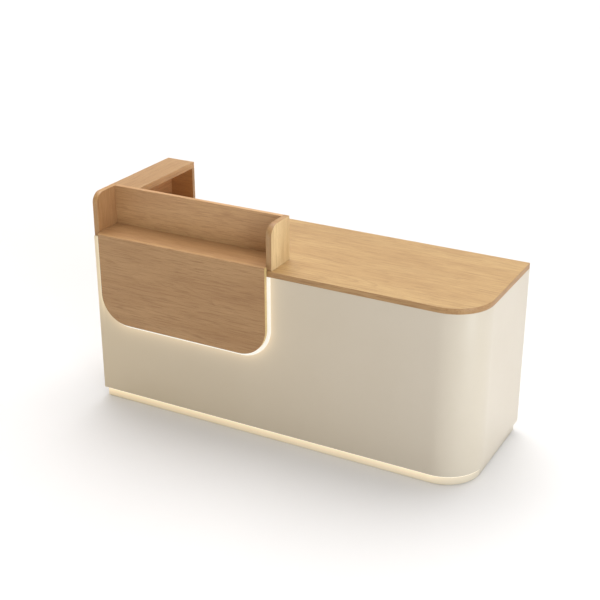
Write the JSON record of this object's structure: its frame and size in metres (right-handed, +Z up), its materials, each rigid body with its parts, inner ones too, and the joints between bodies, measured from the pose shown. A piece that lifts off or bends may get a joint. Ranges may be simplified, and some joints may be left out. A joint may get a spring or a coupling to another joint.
{
  "type": "checkout counter",
  "caption": "Checkout counter: cream body with one rounded corner, oak worktop, raised oak display box over a light-ringed front panel, keyboard tray, drawers and cupboard behind.",
  "frame": {"origin": "centre of the footprint box, on the floor", "axes": "+X along the counter to the customer's right, +Y from the customer to the operator, +Z up"},
  "size_m": [1.8, 0.622, 0.99],
  "materials": {
    "oak": "satin oak veneer, fine straight grain",
    "cream_paint": "satin sprayed lacquer on board",
    "white_board": "matt warm white faced board",
    "drawer_wood": "clear lacquered birch plywood",
    "light_diffuser": "opal, lit from within",
    "handle_metal": "brushed champagne anodised",
    "zinc_steel": "bright zinc plated",
    "lock_chrome": "polished",
    "dark_plastic": "fine moulded texture",
    "driver_plastic": "matt moulded"
  },
  "bodies": {
    "counter": {"worktop": "oak", "left_wing": "oak", "right_wing": "oak", "display_shelf": "oak", "display_back": "oak", "ledge_side_board": "oak", "ledge_top": "oak", "ledge_back_board": "oak", "oak_front_panel": "oak", "front_panel": "cream_paint", "corner_panel": "cream_paint", "right_end_panel": "cream_paint", "left_end_panel": "cream_paint", "plinth_front": "cream_paint", "plinth_corner": "cream_paint", "plinth_right": "cream_paint", "plinth_left": "cream_paint", "plinth_back": "cream_paint", "base_board": "white_board", "knee_partition": "white_board", "cupboard_partition": "white_board", "niche_board": "white_board", "front_rail": "white_board", "cupboard_shelf": "white_board", "tray_hangers": "white_board", "panel_spacer": "white_board", "corner_blocks": "drawer_wood", "halo_light": "light_diffuser", "plinth_light": "light_diffuser", "tray_runner_channels": "zinc_steel", "upper_runner_channels": "zinc_steel", "lower_runner_channels": "zinc_steel", "hinge_frame_leaves": "zinc_steel", "hinge_pins": "zinc_steel", "lock_striker": "zinc_steel", "levelling_feet": "dark_plastic", "cable_grommet": "dark_plastic", "shelf_supports": "dark_plastic", "led_driver": "driver_plastic"},
    "keyboard_tray": {"keyboard_tray": "oak", "tray_runner_slides": "zinc_steel"},
    "upper_drawer": {"upper_drawer_front": "oak", "upper_drawer_handle": "handle_metal", "upper_drawer_sides": "drawer_wood", "upper_drawer_back": "drawer_wood", "upper_drawer_bottom": "drawer_wood", "upper_runner_slides": "zinc_steel", "lock_barrel": "lock_chrome"},
    "upper_runner": {"upper_runner_middles": "zinc_steel"},
    "lower_drawer": {"lower_drawer_front": "oak", "lower_drawer_handle": "handle_metal", "lower_drawer_sides": "drawer_wood", "lower_drawer_back": "drawer_wood", "lower_drawer_bottom": "drawer_wood", "lower_runner_slides": "zinc_steel"},
    "lower_runner": {"lower_runner_middles": "zinc_steel"},
    "cupboard_door": {"cupboard_door": "oak", "door_handle": "handle_metal", "hinge_door_leaves": "zinc_steel"},
    "lock_plug": {"lock_plug": "lock_chrome"}
  },
  "joints": [
    {"name": "keyboard_tray_slide", "type": "slide", "parent": "counter", "child": "keyboard_tray", "axis": [0, 1, 0], "range_m": [0, 0.25]},
    {"name": "upper_drawer_slide", "type": "slide", "parent": "counter", "child": "upper_drawer", "axis": [0, 1, 0], "range_m": [0, 0.4]},
    {"name": "upper_runner_slide", "type": "slide", "parent": "counter", "child": "upper_runner", "axis": [0, 1, 0], "range_m": [0, 0.2]},
    {"name": "lower_drawer_slide", "type": "slide", "parent": "counter", "child": "lower_drawer", "axis": [0, 1, 0], "range_m": [0, 0.4]},
    {"name": "lower_runner_slide", "type": "slide", "parent": "counter", "child": "lower_runner", "axis": [0, 1, 0], "range_m": [0, 0.2]},
    {"name": "door_hinge", "type": "hinge", "parent": "counter", "child": "cupboard_door", "pos_m": [0.8775, 0.2863, 0.425], "axis": [0, 0, -1], "range_deg": [0, 105]},
    {"name": "lock_turn", "type": "hinge", "parent": "upper_drawer", "child": "lock_plug", "pos_m": [0.3405, 0.273, 0.5665], "axis": [0, -1, 0], "range_deg": [0, 90]}
  ],
  "couplings": [
    {"joint": "upper_runner_slide", "follows": "upper_drawer_slide", "ratio": 0.5},
    {"joint": "lower_runner_slide", "follows": "lower_drawer_slide", "ratio": 0.5}
  ]
}
